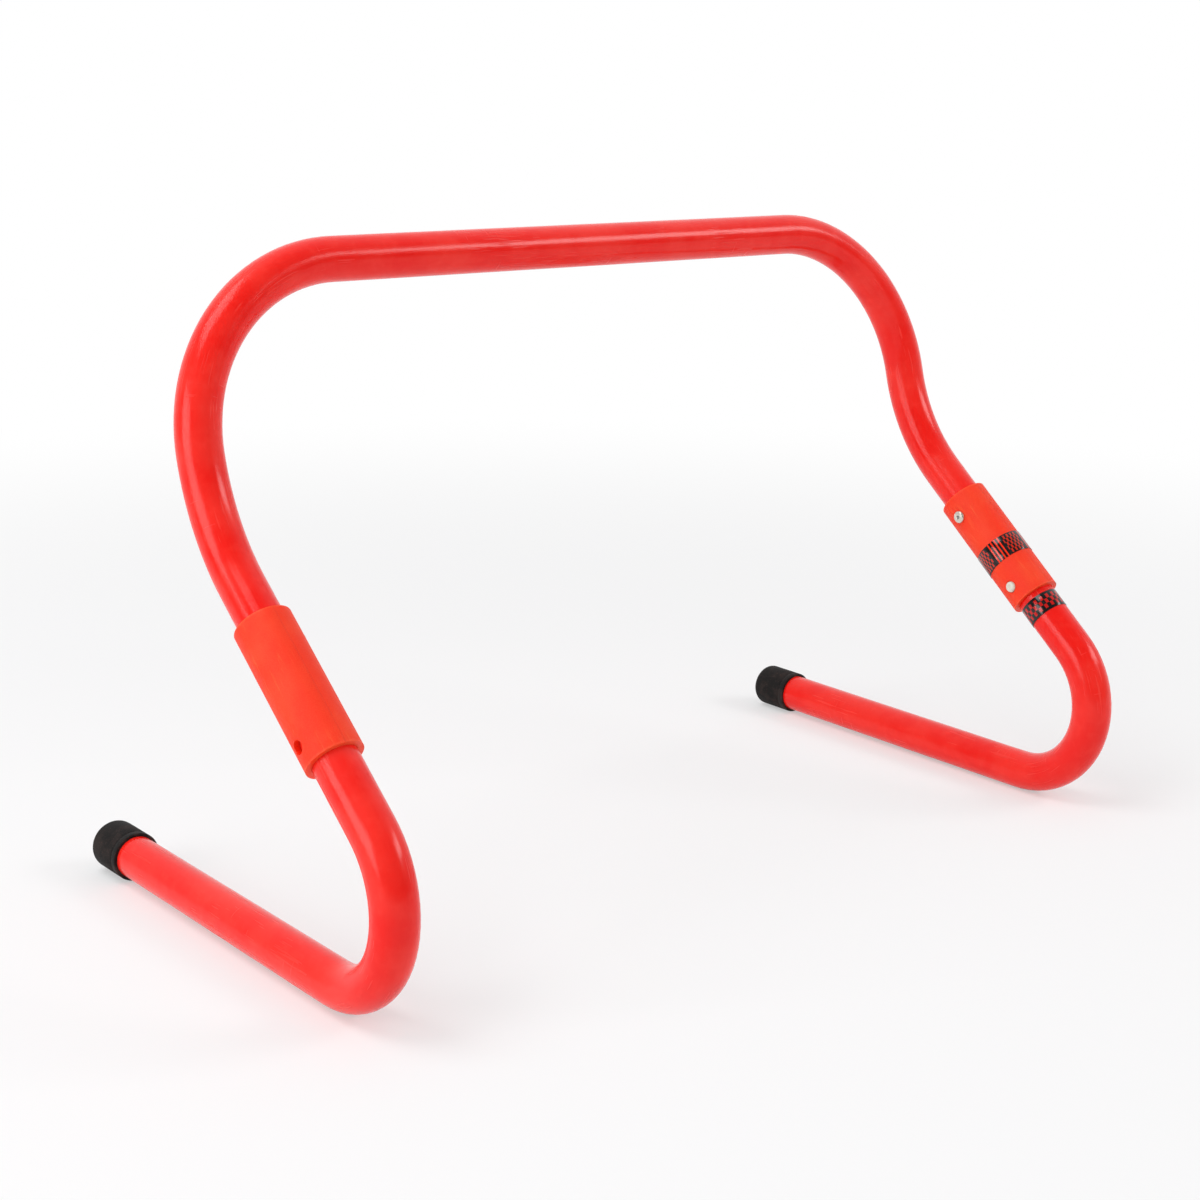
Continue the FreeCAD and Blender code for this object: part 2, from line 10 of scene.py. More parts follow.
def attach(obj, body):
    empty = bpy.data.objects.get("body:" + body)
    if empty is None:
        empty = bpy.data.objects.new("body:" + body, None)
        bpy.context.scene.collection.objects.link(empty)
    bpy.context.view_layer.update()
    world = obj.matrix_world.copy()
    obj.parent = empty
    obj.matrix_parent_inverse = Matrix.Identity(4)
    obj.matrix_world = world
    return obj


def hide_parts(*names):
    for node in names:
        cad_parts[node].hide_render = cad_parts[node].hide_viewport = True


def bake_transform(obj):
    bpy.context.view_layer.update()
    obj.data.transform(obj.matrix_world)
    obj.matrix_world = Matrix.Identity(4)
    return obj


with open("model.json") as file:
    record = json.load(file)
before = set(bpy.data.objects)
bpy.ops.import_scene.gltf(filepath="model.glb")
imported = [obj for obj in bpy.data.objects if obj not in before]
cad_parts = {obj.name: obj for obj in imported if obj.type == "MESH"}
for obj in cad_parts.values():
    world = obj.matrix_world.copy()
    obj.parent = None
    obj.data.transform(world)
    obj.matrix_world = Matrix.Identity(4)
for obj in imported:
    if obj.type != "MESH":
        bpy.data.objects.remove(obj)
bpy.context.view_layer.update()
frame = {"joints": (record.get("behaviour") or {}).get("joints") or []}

bl_info = {
    "name": "Agility hurdle",
    "version": (1, 0, 0),
    "blender": (4, 5, 0),
    "location": "3D View > Sidebar > Hurdle",
    "description": "Builds a plastic tube agility hurdle with swivelling feet on its CAD frame",
    "category": "Object",
}

ACROSS = Vector((1, 0, 0))
UP = Vector((0, 0, 1))
FLIPPED = (-1, 1, 1)
MIRROR = Matrix.Diagonal(FLIPPED)
QUARTER_TURN = math.pi / 2

# How finely the pieces are drawn.
RING_GAP = 0.004
TUBE_SIDES = 56
FITTING_SIDES = 48
SMALL_SIDES = 40
DOME_STEPS = 8
NOSE_STEPS = 7
DIMPLE_STEPS = 5
SHARP_ANGLE = math.radians(50)
DRILL_REACH = 1.5
TOUCHING = 0.00001
SAME = 0.00002

# The straightened coordinates, and how far along the tubes' pattern each leg starts.
SKIN = "skin"
LEFT_SHIFT = 1.7
RIGHT_SHIFT = 3.1

# The groove round a foot cap: its steps in cap walls from the rim, 1 at the bottom of the groove.
CAP_GROOVE = ((2.0, 0), (2.2, 1), (2.6, 1), (2.8, 0))
CHECK_STRENGTH = 0.6

# The soft lamps: name, place, what each is aimed at, width and height, and power in watts.
LAMPS = (
    ("soft_box_left", (-1.8, 0.05, 0.62), (0, 0, 0.15), (1.1, 0.9), 11.5),
    ("soft_box_right", (1.26, -1.16, 1.15), (0, 0, 0.15), (0.9, 0.5), 9.5),
    ("soft_box_above", (-0.85, 0.25, 1.75), (0, 0, 0.1), (1.0, 0.9), 11),
)
WHITE = (1, 1, 1, 1)
WORLD_LIGHT = 0.57

# Reflections see a backdrop that is white along this way and dimmer opposite it.
FRONT_SHINE = 0.2
BACKDROP_WAY = (0.65, 0.75, 0.1)
BACKDROP_FRONT = -0.3
BACKDROP_BACK = 0.6

# The floor glows faintly under the hurdle and fully from the second distance on.
FLOOR_RADIUS = 8
FLOOR_RIM = 6
FLOOR_SIDES = 96
FLOOR_GLOW = 0.42
GLOW_STARTS = 0.35
GLOW_FULL = 1.3

CAMERA_PLACE = (-0.6323, -0.7272, 0.3683)
CAMERA_AIM = (-0.02, 0.0, 0.125)
CAMERA_LENS = 62
CAMERA_FILM = 36
CAMERA_ROLL = math.radians(0.8)


# --- sizes and colours ---


def length(name, description, metres):
    """A size in metres that the panel shows as a length."""
    return FloatProperty(
        name=name, description=description, default=metres, min=0, precision=5, unit="LENGTH"
    )


def angle(name, description, degrees):
    """A turn, given in degrees and kept in radians."""
    return FloatProperty(
        name=name, description=description, default=math.radians(degrees), unit="ROTATION"
    )


def linear(value):
    """A screen value from 0 to 255 as linear light, by the sRGB curve."""
    share = value / 255
    return ((share + 0.055) / 1.055) ** 2.4 if share > 0.04045 else share / 12.92


def paint(name, description, *shade):
    """A colour, given as it looks on a screen and kept as linear light."""
    return FloatVectorProperty(
        name=name,
        description=description,
        default=[linear(value) for value in shade],
        size=3,
        min=0,
        max=1,
        subtype="COLOR",
    )


class HurdleTubeSizes(bpy.types.PropertyGroup):
    """Sizes of the bent tubes."""

    radius: length("Tube radius", "Outside radius of the hoop and the legs", 0.010)
    wall: length("Tube wall", "Wall of the hoop and the legs", 0.0018)
    bend_radius: length("Foot bend", "Centre line of the bend between leg and foot", 0.042)
    foot_run: length("Foot run", "From the front bend to the rim of the foot cap", 0.170)
    leg_straight: length("Leg straight", "Straight between the foot bend and the sleeve", 0.033)
    leg_depth: length("Leg depth", "Length of a leg inside its sleeve", 0.031)
    end_gap: length("End gap", "Between the ends of leg and hoop inside a sleeve", 0.006)
    hoop_straight: length("Hoop straight", "Straight of the hoop above each sleeve", 0.020)
    lean_radius: length("Lean bend", "Centre line of the bend above the sleeves", 0.095)
    lean_angle: angle("Lean angle", "Turn of the bend above the sleeves", 36)
    corner_radius: length("Corner bend", "Centre line of the bends beside the bar", 0.078)


class HurdleFittingSizes(bpy.types.PropertyGroup):
    """Sizes of the sleeves, caps, rivets, buttons, springs and bands."""

    sleeve_length: length("Sleeve length", "Length of each sleeve", 0.068)
    sleeve_wall: length("Sleeve wall", "Wall of each sleeve", 0.0026)
    sleeve_clearance: length("Sleeve clearance", "Gap between a tube and its sleeve", 0.00008)
    sleeve_edge: length("Sleeve edge", "Rounding of a sleeve's rims", 0.0004)
    cap_depth: length("Cap depth", "Length of the foot inside its cap", 0.020)
    cap_wall: length("Cap wall", "Side wall of a foot cap", 0.0015)
    cap_end: length("Cap end", "End wall of a foot cap", 0.0045)
    cap_rounding: length("Cap rounding", "Rounding of a foot cap's closed end", 0.004)
    cap_clearance: length("Cap clearance", "Gap between a foot and its cap", 0.00005)
    rivet_drop: length("Rivet drop", "From a sleeve's top down to its rivet", 0.011)
    rivet_radius: length("Rivet shank", "Radius of a rivet's shank", 0.0016)
    rivet_head: length("Rivet head", "Radius of a rivet's head", 0.0032)
    rivet_height: length("Rivet height", "Rivet head above the sleeve", 0.0013)
    rivet_bulb: length("Rivet set end", "Radius of the set end inside the hoop", 0.0024)
    bulb_length: length("Set end length", "Length of the set end inside the hoop", 0.003)
    pin_radius: length("Pin radius", "Pin left inside each rivet", 0.0009)
    pin_head: length("Pin head", "Head of the pin behind the set end", 0.0018)
    pin_head_length: length("Pin head length", "Length of the pin's head", 0.0015)
    pin_recess: length("Pin recess", "Pin below the top of the rivet", 0.0004)
    button_rise: length("Button rise", "From a sleeve's bottom up to its button", 0.009)
    button_radius: length("Button radius", "Nose of a snap button", 0.0028)
    button_proud: length("Button height", "Nose of a button above its sleeve", 0.0009)
    button_rounding: length("Button rounding", "Rounding of a button's nose", 0.0012)
    button_collar: length("Button collar", "Extra radius and depth of a button's collar", 0.001)
    button_dimple: length("Button dimple", "Radius of the dimple in the nose", 0.0009)
    dimple_depth: length("Dimple depth", "Depth of the dimple in the nose", 0.0004)
    hole_lead: length("Sleeve hole lead", "Gap between a button and the sleeve's holes", 0.00025)
    leg_lead: length("Leg hole lead", "Gap between a button and the leg's hole", 0.0001)
    seat_gap: length("Seat gap", "Gap between a fitting and its seat inside a tube", 0.00005)
    rivet_clearance: length("Rivet clearance", "Gap between a rivet and its holes", 0.00005)
    pin_clearance: length("Pin clearance", "Gap between a pin and its rivet", 0.00003)
    spring_width: length("Spring width", "Width of a button's spring strip", 0.005)
    spring_thickness: length("Spring thickness", "Thickness of that strip", 0.0005)
    spring_arm: length("Spring arm", "From the button down to the strip's fold", 0.024)
    spring_back: length("Spring back", "Short arm against the tube's far wall", 0.016)
    spring_gap: length("Spring gap", "Gap between the short arm's edges and the tube", 0.00015)
    sleeve_band_rise: length("Sleeve band rise", "From a sleeve's bottom to its band", 0.0225)
    sleeve_band_width: length("Sleeve band width", "Width of the sleeve's band", 0.012)
    leg_band_drop: length("Leg band drop", "From a sleeve's bottom down to the leg's band", 0.003)
    leg_band_width: length("Leg band width", "Width of the leg's band", 0.010)
    band_film: length("Band film", "Thickness of the printed bands", 0.00025)
    band_clearance: length("Band clearance", "Gap under the printed bands", 0.00002)


class HurdleColours(bpy.types.PropertyGroup):
    """Colours of the finishes."""

    tube: paint("Tube", "Glossy plastic tube", 238, 20, 11)
    tube_pale: paint("Tube bloom", "Paler cloudy patches in the tube", 250, 58, 46)
    sleeve: paint("Sleeve", "Satin moulded sleeve", 245, 46, 8)
    sleeve_pale: paint("Sleeve bloom", "Paler rubbed rims of the sleeve", 250, 84, 44)
    rubber: paint("Rubber", "Foot caps", 14, 10, 9)
    rubber_dust: paint("Rubber bloom", "Dusty rubbed rubber", 66, 52, 48)
    band: paint("Band", "Printed film", 14, 9, 10)
    rivet: paint("Rivet", "Aluminium rivets", 226, 220, 208)
    pin: paint("Rivet pin", "Dull grey steel pins", 152, 150, 148)
    button: paint("Button", "Pale plastic snap buttons", 224, 218, 204)
    spring: paint("Spring", "Hardened steel springs", 132, 134, 140)
    floor: paint("Floor", "Plain studio floor", 243, 243, 244)


# --- working in edit mode ---


def take(piece):
    """Makes this piece the only selected one."""
    bpy.ops.object.select_all(action="DESELECT")
    piece.select_set(True)
    bpy.context.view_layer.objects.active = piece


def name_piece(piece, name):
    """Gives a piece and its mesh one name."""
    piece.name = piece.data.name = name
    return piece


def finish_modifier(piece, kind, **settings):
    """Adds one modifier, sets it up and applies it."""
    take(piece)
    modifier = piece.modifiers.new(kind.lower(), kind)
    for key, value in settings.items():
        setattr(modifier, key, value)
    bpy.ops.object.modifier_apply(modifier=modifier.name)


def select_edges(piece, wanted):
    """Selects the edges whose two ends both pass the test, in edit mode."""
    bpy.ops.mesh.select_mode(type="EDGE")
    bpy.ops.mesh.select_all(action="DESELECT")
    shell = bmesh.from_edit_mesh(piece.data)
    found = [edge for edge in shell.edges if all(wanted(v.co) for v in edge.verts)]
    for edge in found:
        edge.select_set(True)
    bmesh.update_edit_mesh(piece.data)
    if not found:
        raise RuntimeError("no edge to work on in " + piece.name)


class Drawing:
    """A round piece drawn ring by ring in edit mode, and the line that its rings follow."""

    def __init__(self, name, start, heading, radius, sides=TUBE_SIDES, side=ACROSS):
        bpy.ops.object.select_all(action="DESELECT")
        turn = Matrix((side, heading.cross(side), heading)).transposed().to_euler()
        bpy.ops.mesh.primitive_circle_add(
            vertices=sides, radius=radius, location=start, rotation=turn
        )
        self.piece = name_piece(bpy.context.object, name)
        bpy.ops.object.transform_apply(location=True, rotation=True, scale=True)
        self.point, self.heading, self.side = Vector(start), Vector(heading), Vector(side)
        self.radius = radius
        self.along = 0.0
        self.line = []
        self.note()
        bpy.ops.object.mode_set(mode="EDIT")
        bpy.ops.mesh.select_all(action="SELECT")

    def note(self):
        """Keeps the newest ring's centre, heading, side and distance along the line."""
        self.line.append((self.point.copy(), self.heading.copy(), self.side.copy(), self.along))

    def pull(self, distance):
        """Extrudes the newest ring straight on."""
        step = self.heading * distance
        bpy.ops.mesh.extrude_region_move(TRANSFORM_OT_translate={"value": step})
        self.point = self.point + step
        self.along += distance
        self.note()

    def run(self, distance):
        """A straight run, in even short steps."""
        steps = max(1, round(distance / RING_GAP))
        for _ in range(steps):
            self.pull(distance / steps)

    def bend(self, towards, radius, turn):
        """Spins the newest ring round a bend whose centre lies that way."""
        axis = self.heading.cross(towards).normalized()
        centre = self.point + towards * radius
        steps = max(2, round(turn * radius / RING_GAP))
        bpy.ops.mesh.spin(steps=steps, angle=-turn, center=centre, axis=axis)
        part = Matrix.Rotation(turn / steps, 3, axis)
        for _ in range(steps):
            self.point = centre + part @ (self.point - centre)
            self.heading = part @ self.heading
            self.side = part @ self.side
            self.along += radius * turn / steps
            self.note()

    def step_to(self, distance, radius):
        """Extrudes the newest ring on by a distance, back if negative, and to a new radius."""
        self.pull(distance)
        grow = radius / self.radius
        bpy.ops.transform.resize(value=(grow, grow, grow), center_override=self.point)
        self.radius = radius

    def close(self):
        """Merges doubles, points the faces outwards and leaves edit mode."""
        bpy.ops.mesh.select_all(action="SELECT")
        bpy.ops.mesh.remove_doubles(threshold=TOUCHING)
        bpy.ops.mesh.normals_make_consistent(inside=False)
        bpy.ops.object.mode_set(mode="OBJECT")
        return self.piece


def turned_piece(name, start, heading, profile, sides=SMALL_SIDES, bored=False):
    """A solid of revolution: a profile of (distance, radius) stepped off along a heading.

    A bored piece ends on its first ring, and any other has its two ends filled.
    """
    here, radius = profile[0]
    draw = Drawing(name, start + heading * here, heading, radius, sides, square_to(heading))
    steps = profile[1:] + profile[:1] if bored else profile[1:]
    for distance, radius in steps:
        draw.step_to(distance - here, radius)
        here = distance
    if not bored:
        fill_ends()
    return draw.close()


def fill_ends():
    """Closes the open ends of the piece in edit mode."""
    bpy.ops.mesh.select_all(action="SELECT")
    bpy.ops.mesh.fill_holes(sides=0)


def square_to(heading):
    """A direction square to a heading."""
    return heading.cross(UP if abs(heading.z) < abs(heading.x) else ACROSS).normalized()


def wall_in(piece, thickness):
    """Gives a drawn shell its wall, inwards."""
    finish_modifier(piece, "SOLIDIFY", thickness=thickness, offset=-1, use_even_offset=True)


def drill(piece, mouth, heading, radius, depth):
    """Drills a round hole from its mouth along a heading."""
    turn = heading.to_track_quat("Z", "Y").to_euler()
    bpy.ops.object.select_all(action="DESELECT")
    bpy.ops.mesh.primitive_cylinder_add(
        vertices=FITTING_SIDES,
        radius=radius,
        depth=depth,
        location=mouth + heading * (depth / 2),
        rotation=turn,
    )
    bit = bpy.context.object
    finish_modifier(piece, "BOOLEAN", operation="DIFFERENCE", object=bit, solver="EXACT")
    bpy.data.meshes.remove(bit.data)


def round_rims(piece, width, steps=2):
    """Rounds the sharp edges of a piece by one width."""
    sharp = {"limit_method": "ANGLE", "angle_limit": SHARP_ANGLE}
    finish_modifier(piece, "BEVEL", width=width, segments=steps, **sharp)


def round_edges(piece, width, steps, wanted):
    """Rounds only the edges whose ends pass the test."""
    take(piece)
    bpy.ops.object.mode_set(mode="EDIT")
    select_edges(piece, wanted)
    bpy.ops.mesh.bevel(offset=width, segments=steps, affect="EDGES")
    bpy.ops.object.mode_set(mode="OBJECT")


def smooth(piece, degrees=35):
    """Shades a piece smooth, with sharp edges kept."""
    take(piece)
    bpy.ops.object.shade_smooth_by_angle(angle=math.radians(degrees))


def twin(piece, name):
    """A mirrored copy on the other side, with its own mesh."""
    take(piece)
    bpy.ops.object.duplicate(linked=False)
    copy = name_piece(bpy.context.object, name)
    bpy.ops.object.mode_set(mode="EDIT")
    bpy.ops.mesh.select_all(action="SELECT")
    bpy.ops.transform.resize(value=FLIPPED, center_override=(0, 0, 0))
    bpy.ops.mesh.flip_normals()
    bpy.ops.object.mode_set(mode="OBJECT")
    return copy


def mirrored(line):
    """The same line on the other side of the hurdle."""
    return [
        (MIRROR @ centre, MIRROR @ heading, MIRROR @ side, along)
        for centre, heading, side, along in line
    ]


def straighten(piece, line, shift=0.0):
    """Stores where each point would lie if the piece's line were straight, as its skin."""
    tree = kdtree.KDTree(len(line))
    for index, (centre, _, _, _) in enumerate(line):
        tree.insert(centre, index)
    tree.balance()
    skin = piece.data.attributes.new(SKIN, "FLOAT_VECTOR", "POINT")
    for vertex in piece.data.vertices:
        _, index, _ = tree.find(vertex.co)
        centre, heading, side, along = line[index]
        arm = vertex.co - centre
        spot = (arm.dot(side), arm.dot(heading.cross(side)), along + shift + arm.dot(heading))
        skin.data[vertex.index].vector = spot


def dress(piece, node, material):
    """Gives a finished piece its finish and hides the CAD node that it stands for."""
    piece.data.materials.clear()
    piece.data.materials.append(material)
    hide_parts(node)


def deliver(piece, body, node, material):
    """Hands over a piece that rides on one body."""
    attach(piece, body)
    dress(piece, node, material)


# --- where things are ---


class Plan:
    """Places worked out from the CAD joints and the panel's sizes, for the left side."""

    def __init__(self):
        settings = bpy.context.scene
        self.tube = tube = settings.hurdle_tubes
        self.fit = fit = settings.hurdle_fittings
        joint = next(j for j in frame["joints"] if j["name"] == "left_leg_swivel")
        self.pivot = Vector(joint["pos_m"])
        self.rise = Vector(joint["axis"])
        self.under = self.rise.cross(ACROSS)
        self.bore = tube.radius - tube.wall
        self.sleeve_bore = tube.radius + fit.sleeve_clearance
        self.sleeve_outside = self.sleeve_bore + fit.sleeve_wall
        self.cap_bore = tube.radius + fit.cap_clearance
        self.cap_outside = self.cap_bore + fit.cap_wall
        self.collar = fit.button_radius + fit.button_collar
        self.collar_face = math.sqrt(self.bore**2 - self.collar**2) - fit.seat_gap
        self.collar_back = self.collar_face - fit.button_collar
        self.foot_tilt = math.asin((self.cap_outside - tube.radius) / tube.foot_run)
        self.foot_way = Vector((0, math.cos(self.foot_tilt), math.sin(self.foot_tilt)))

    def on_sleeve(self, distance):
        """A point on the left sleeve's centre line, up from its lower end."""
        return self.pivot + self.rise * distance

    def cap_rim(self):
        """Centre of the left foot cap's rim."""
        radius = self.tube.bend_radius
        centre = self.on_sleeve(-self.tube.leg_straight) + self.under * radius
        return centre - UP * radius + self.foot_way * self.tube.foot_run


# --- finishes ---


class Wire:
    """An output socket that can take part in sums; each sign adds its Math node."""

    def __init__(self, finish, socket):
        self.finish = finish
        self.socket = socket

    def sum(self, sign, *others, clamp=False):
        """This value joined to others by a Math node."""
        inputs = dict(enumerate((self,) + others))
        return self.finish.add("ShaderNodeMath", {"operation": sign, "use_clamp": clamp}, inputs)

    def __add__(self, other):
        return self.sum("ADD", other)

    def __sub__(self, other):
        return self.sum("SUBTRACT", other)

    def __mul__(self, other):
        return self.sum("MULTIPLY", other)

    def __truediv__(self, other):
        return self.sum("DIVIDE", other)

    def __rsub__(self, other):
        return self * -1 + other

    def __lt__(self, other):
        return self.sum("LESS_THAN", other)

    def __abs__(self):
        return self.sum("ABSOLUTE")

    __radd__ = __add__
    __rmul__ = __mul__

    def fraction(self):
        """What is left after the whole number."""
        return self.sum("FRACT")

    def ramp(self, low, high):
        """0 at low and 1 at high, smooth between; low may be the larger."""
        settings = {"interpolation_type": "SMOOTHSTEP"}
        return self.finish.add(
            "ShaderNodeMapRange", settings, {"Value": self, "From Min": low, "From Max": high}
        )


class Finish:
    """The nodes of a material, or of the world, being put together."""

    def __init__(self, owner):
        owner.use_nodes = True
        self.owner = owner
        self.tree = owner.node_tree
        self.tree.nodes.clear()

    def add(self, kind, settings=None, inputs=None, output=0):
        """Adds one node: its settings first, then its sockets' values or links."""
        node = self.tree.nodes.new(kind)
        for key, value in (settings or {}).items():
            setattr(node, key, value)
        for key, value in (inputs or {}).items():
            if isinstance(value, Wire):
                self.tree.links.new(value.socket, node.inputs[key])
            else:
                node.inputs[key].default_value = value
        return Wire(self, node.outputs[output]) if node.outputs else None

    def skin(self):
        """The piece's own straightened coordinates."""
        return self.add("ShaderNodeAttribute", {"attribute_name": SKIN}, output="Vector")

    def place(self):
        """The piece's place in the hurdle."""
        return self.add("ShaderNodeTexCoord", output="Object")

    def parts(self, vector):
        """The three numbers of a vector."""
        split = self.add("ShaderNodeSeparateXYZ", inputs={0: vector})
        outputs = split.socket.node.outputs
        return [Wire(self, outputs[index]) for index in range(3)]

    def stretched(self, vector, *factors):
        """A vector with each of its numbers multiplied."""
        return self.add("ShaderNodeVectorMath", {"operation": "MULTIPLY"}, {0: vector, 1: factors})

    def noise(self, vector, scale, detail=2.0, roughness=0.5):
        """Soft noise, about 0 to 1, with that many lumps a metre."""
        inputs = {"Vector": vector, "Scale": scale, "Detail": detail, "Roughness": roughness}
        return self.add("ShaderNodeTexNoise", None, inputs)

    def blend(self, first, second, amount):
        """A colour between two colours."""
        inputs = {0: amount, 6: rgba(first), 7: rgba(second)}
        return self.add("ShaderNodeMix", {"data_type": "RGBA"}, inputs, output=2)

    def bump(self, height, strength, distance):
        """A bumpy surface from a height."""
        inputs = {"Height": height, "Strength": strength, "Distance": distance}
        return self.add("ShaderNodeBump", None, inputs)

    def surface(self, **sockets):
        """Closes the material with one Principled shader."""
        inputs = {key.replace("_", " "): value for key, value in sockets.items()}
        return self.close(self.add("ShaderNodeBsdfPrincipled", None, inputs))

    def close(self, shader, kind="ShaderNodeOutputMaterial"):
        """Joins a shader to the output and gives the material, or the world, back."""
        self.add(kind, None, {"Surface": shader})
        return self.owner


def new_finish(name):
    """A new material, still empty."""
    return Finish(bpy.data.materials.new(name))


def rgba(colour):
    """A colour with its alpha, or a wire as it is."""
    return colour if isinstance(colour, Wire) else (*colour, 1.0)


def tube_finish(colours):
    """Glossy drawn plastic: cloudy colour, die lines along the tube, scuffs and floor rub."""
    finish = new_finish("hurdle_tube_plastic")
    skin = finish.skin()
    cloud = finish.noise(skin, scale=42, detail=3)
    fine_cloud = finish.noise(skin, scale=240, detail=2)
    die_lines = finish.noise(finish.stretched(skin, 1, 1, 0.012), scale=1300, detail=2)
    peel = finish.noise(skin, scale=620, detail=2)
    scratch_a = finish.noise(finish.stretched(skin, 1, 1, 0.05), scale=900, detail=1).ramp(0.60, 0.70)
    scratch_b = finish.noise(finish.stretched(skin, 0.12, 0.12, 1), scale=800, detail=1).ramp(0.64, 0.76)
    worn_patch = finish.noise(skin, scale=26, detail=2).ramp(0.46, 0.62)
    scratches = (scratch_a + scratch_b * 0.35) * worn_patch
    height = finish.parts(finish.place())[2]
    rub = height.ramp(0.0022, 0.0002) * finish.noise(skin, scale=420, detail=3).ramp(0.38, 0.62)
    bloom = cloud.ramp(0.38, 0.66) * 0.42 + fine_cloud.ramp(0.45, 0.8) * 0.22
    colour = finish.blend(colours.tube, colours.tube_pale, bloom + die_lines * 0.12)
    colour = finish.blend(colour, colours.tube_pale, scratches * 0.6)
    colour = finish.blend(colour, colours.rubber_dust, rub * 0.35)
    rough = 0.12 + cloud * 0.10 + die_lines * 0.07 + scratches * 0.3 + rub * 0.3
    lumps = peel * 0.5 + die_lines * 0.35 - scratches * 0.8 - rub * 0.5
    return finish.surface(
        Base_Color=colour,
        Roughness=rough,
        IOR=1.5,
        Specular_IOR_Level=0.28,
        Subsurface_Weight=0.2,
        Subsurface_Radius=(1.0, 0.15, 0.1),
        Subsurface_Scale=0.003,
        Normal=finish.bump(lumps, strength=0.45, distance=0.0002),
    )


def sleeve_finish(colours, sleeve_length):
    """Satin moulded plastic: fine grain, two parting lines and paler rubbed rims."""
    finish = new_finish("hurdle_sleeve_plastic")
    skin = finish.skin()
    across, _, along = finish.parts(skin)
    cloud = finish.noise(skin, scale=60, detail=3)
    grain = finish.noise(skin, scale=2600, detail=2)
    coarse = finish.noise(skin, scale=700, detail=2)
    parting = abs(across).ramp(0.00022, 0.00008)
    ragged = finish.noise(skin, scale=900, detail=2) * 0.0012
    rim = (along + ragged).ramp(0.0018, 0.0006) + (sleeve_length - along + ragged).ramp(
        0.0018, 0.0006
    )
    scuffs = finish.noise(finish.stretched(skin, 1, 1, 0.1), scale=700, detail=2).ramp(0.56, 0.68)
    scuffs = scuffs * finish.noise(skin, scale=45, detail=2).ramp(0.46, 0.60)
    bloom = cloud.ramp(0.38, 0.66) * 0.30 + rim * 0.5 + scuffs * 0.5
    bloom = bloom + grain.ramp(0.35, 0.65) * 0.22
    colour = finish.blend(colours.sleeve, colours.sleeve_pale, bloom)
    rough = 0.44 + cloud * 0.10 + grain * 0.08 - rim * 0.08 + scuffs * 0.12
    lumps = grain * 0.45 + coarse * 0.35 + parting * 0.9 - scuffs * 0.4
    return finish.surface(
        Base_Color=colour,
        Roughness=rough,
        IOR=1.47,
        Specular_IOR_Level=0.3,
        Subsurface_Weight=0.25,
        Subsurface_Radius=(1.0, 0.2, 0.1),
        Subsurface_Scale=0.003,
        Normal=finish.bump(lumps, strength=0.9, distance=0.0003),
    )


def rubber_finish(colours, cap_length):
    """Matte rubber: fine pits, a dusty bloom and rubbed edges."""
    finish = new_finish("hurdle_cap_rubber")
    skin = finish.skin()
    along = finish.parts(skin)[2]
    pits = finish.noise(skin, scale=1900, detail=3, roughness=0.6)
    cloud = finish.noise(skin, scale=150, detail=3)
    specks = finish.noise(skin, scale=1500, detail=1).ramp(0.60, 0.70)
    edge = (cap_length - along).ramp(0.0035, 0.0004) + along.ramp(0.0012, 0.0002)
    underside = finish.parts(finish.place())[2].ramp(0.0016, 0.0002)
    dust = edge * cloud.ramp(0.35, 0.7) * 0.5 + cloud.ramp(0.42, 0.66) * 0.3
    dust = dust + specks * 0.4 + underside * 0.5
    colour = finish.blend(colours.rubber, colours.rubber_dust, dust)
    rough = 0.58 + cloud * 0.14 + pits * 0.10 + underside * 0.1
    return finish.surface(
        Base_Color=colour,
        Roughness=rough,
        Specular_IOR_Level=0.24,
        Normal=finish.bump(pits * 0.7 + cloud * 0.5, strength=0.7, distance=0.00025),
    )


def metal_finish(name, shade, tarnish, roughness, streak):
    """Bare metal: handling marks, dull patches and fine scratches."""
    finish = new_finish(name)
    place = finish.place()
    patch = finish.noise(place, scale=900, detail=3)
    marks = finish.noise(finish.stretched(place, streak, 1, 1), scale=4200, detail=2)
    dull = patch.ramp(0.42, 0.72)
    darker = tuple(value * tarnish for value in shade)
    colour = finish.blend(shade, darker, dull * 0.7 + marks.ramp(0.5, 0.8) * 0.3)
    rough = roughness + dull * 0.16 + marks * 0.12
    return finish.surface(
        Base_Color=colour,
        Roughness=rough,
        Metallic=1.0,
        Normal=finish.bump(marks + patch * 0.6, strength=0.3, distance=0.00005),
    )


def button_finish(shade):
    """Pale moulded plastic: faint mottling, a fine grain and a little grime."""
    finish = new_finish("hurdle_button_plastic")
    place = finish.place()
    cloud = finish.noise(place, scale=500, detail=3)
    fine = finish.noise(place, scale=3500, detail=2)
    grime = cloud.ramp(0.48, 0.72) * 0.30 + fine.ramp(0.56, 0.72) * 0.25
    return finish.surface(
        Base_Color=finish.blend(shade, tuple(value * 0.5 for value in shade), grime),
        Roughness=0.30 + cloud * 0.14 + fine * 0.10,
        IOR=1.5,
        Specular_IOR_Level=0.45,
        Normal=finish.bump(fine * 0.6 + cloud * 0.4, strength=0.5, distance=0.00006),
    )


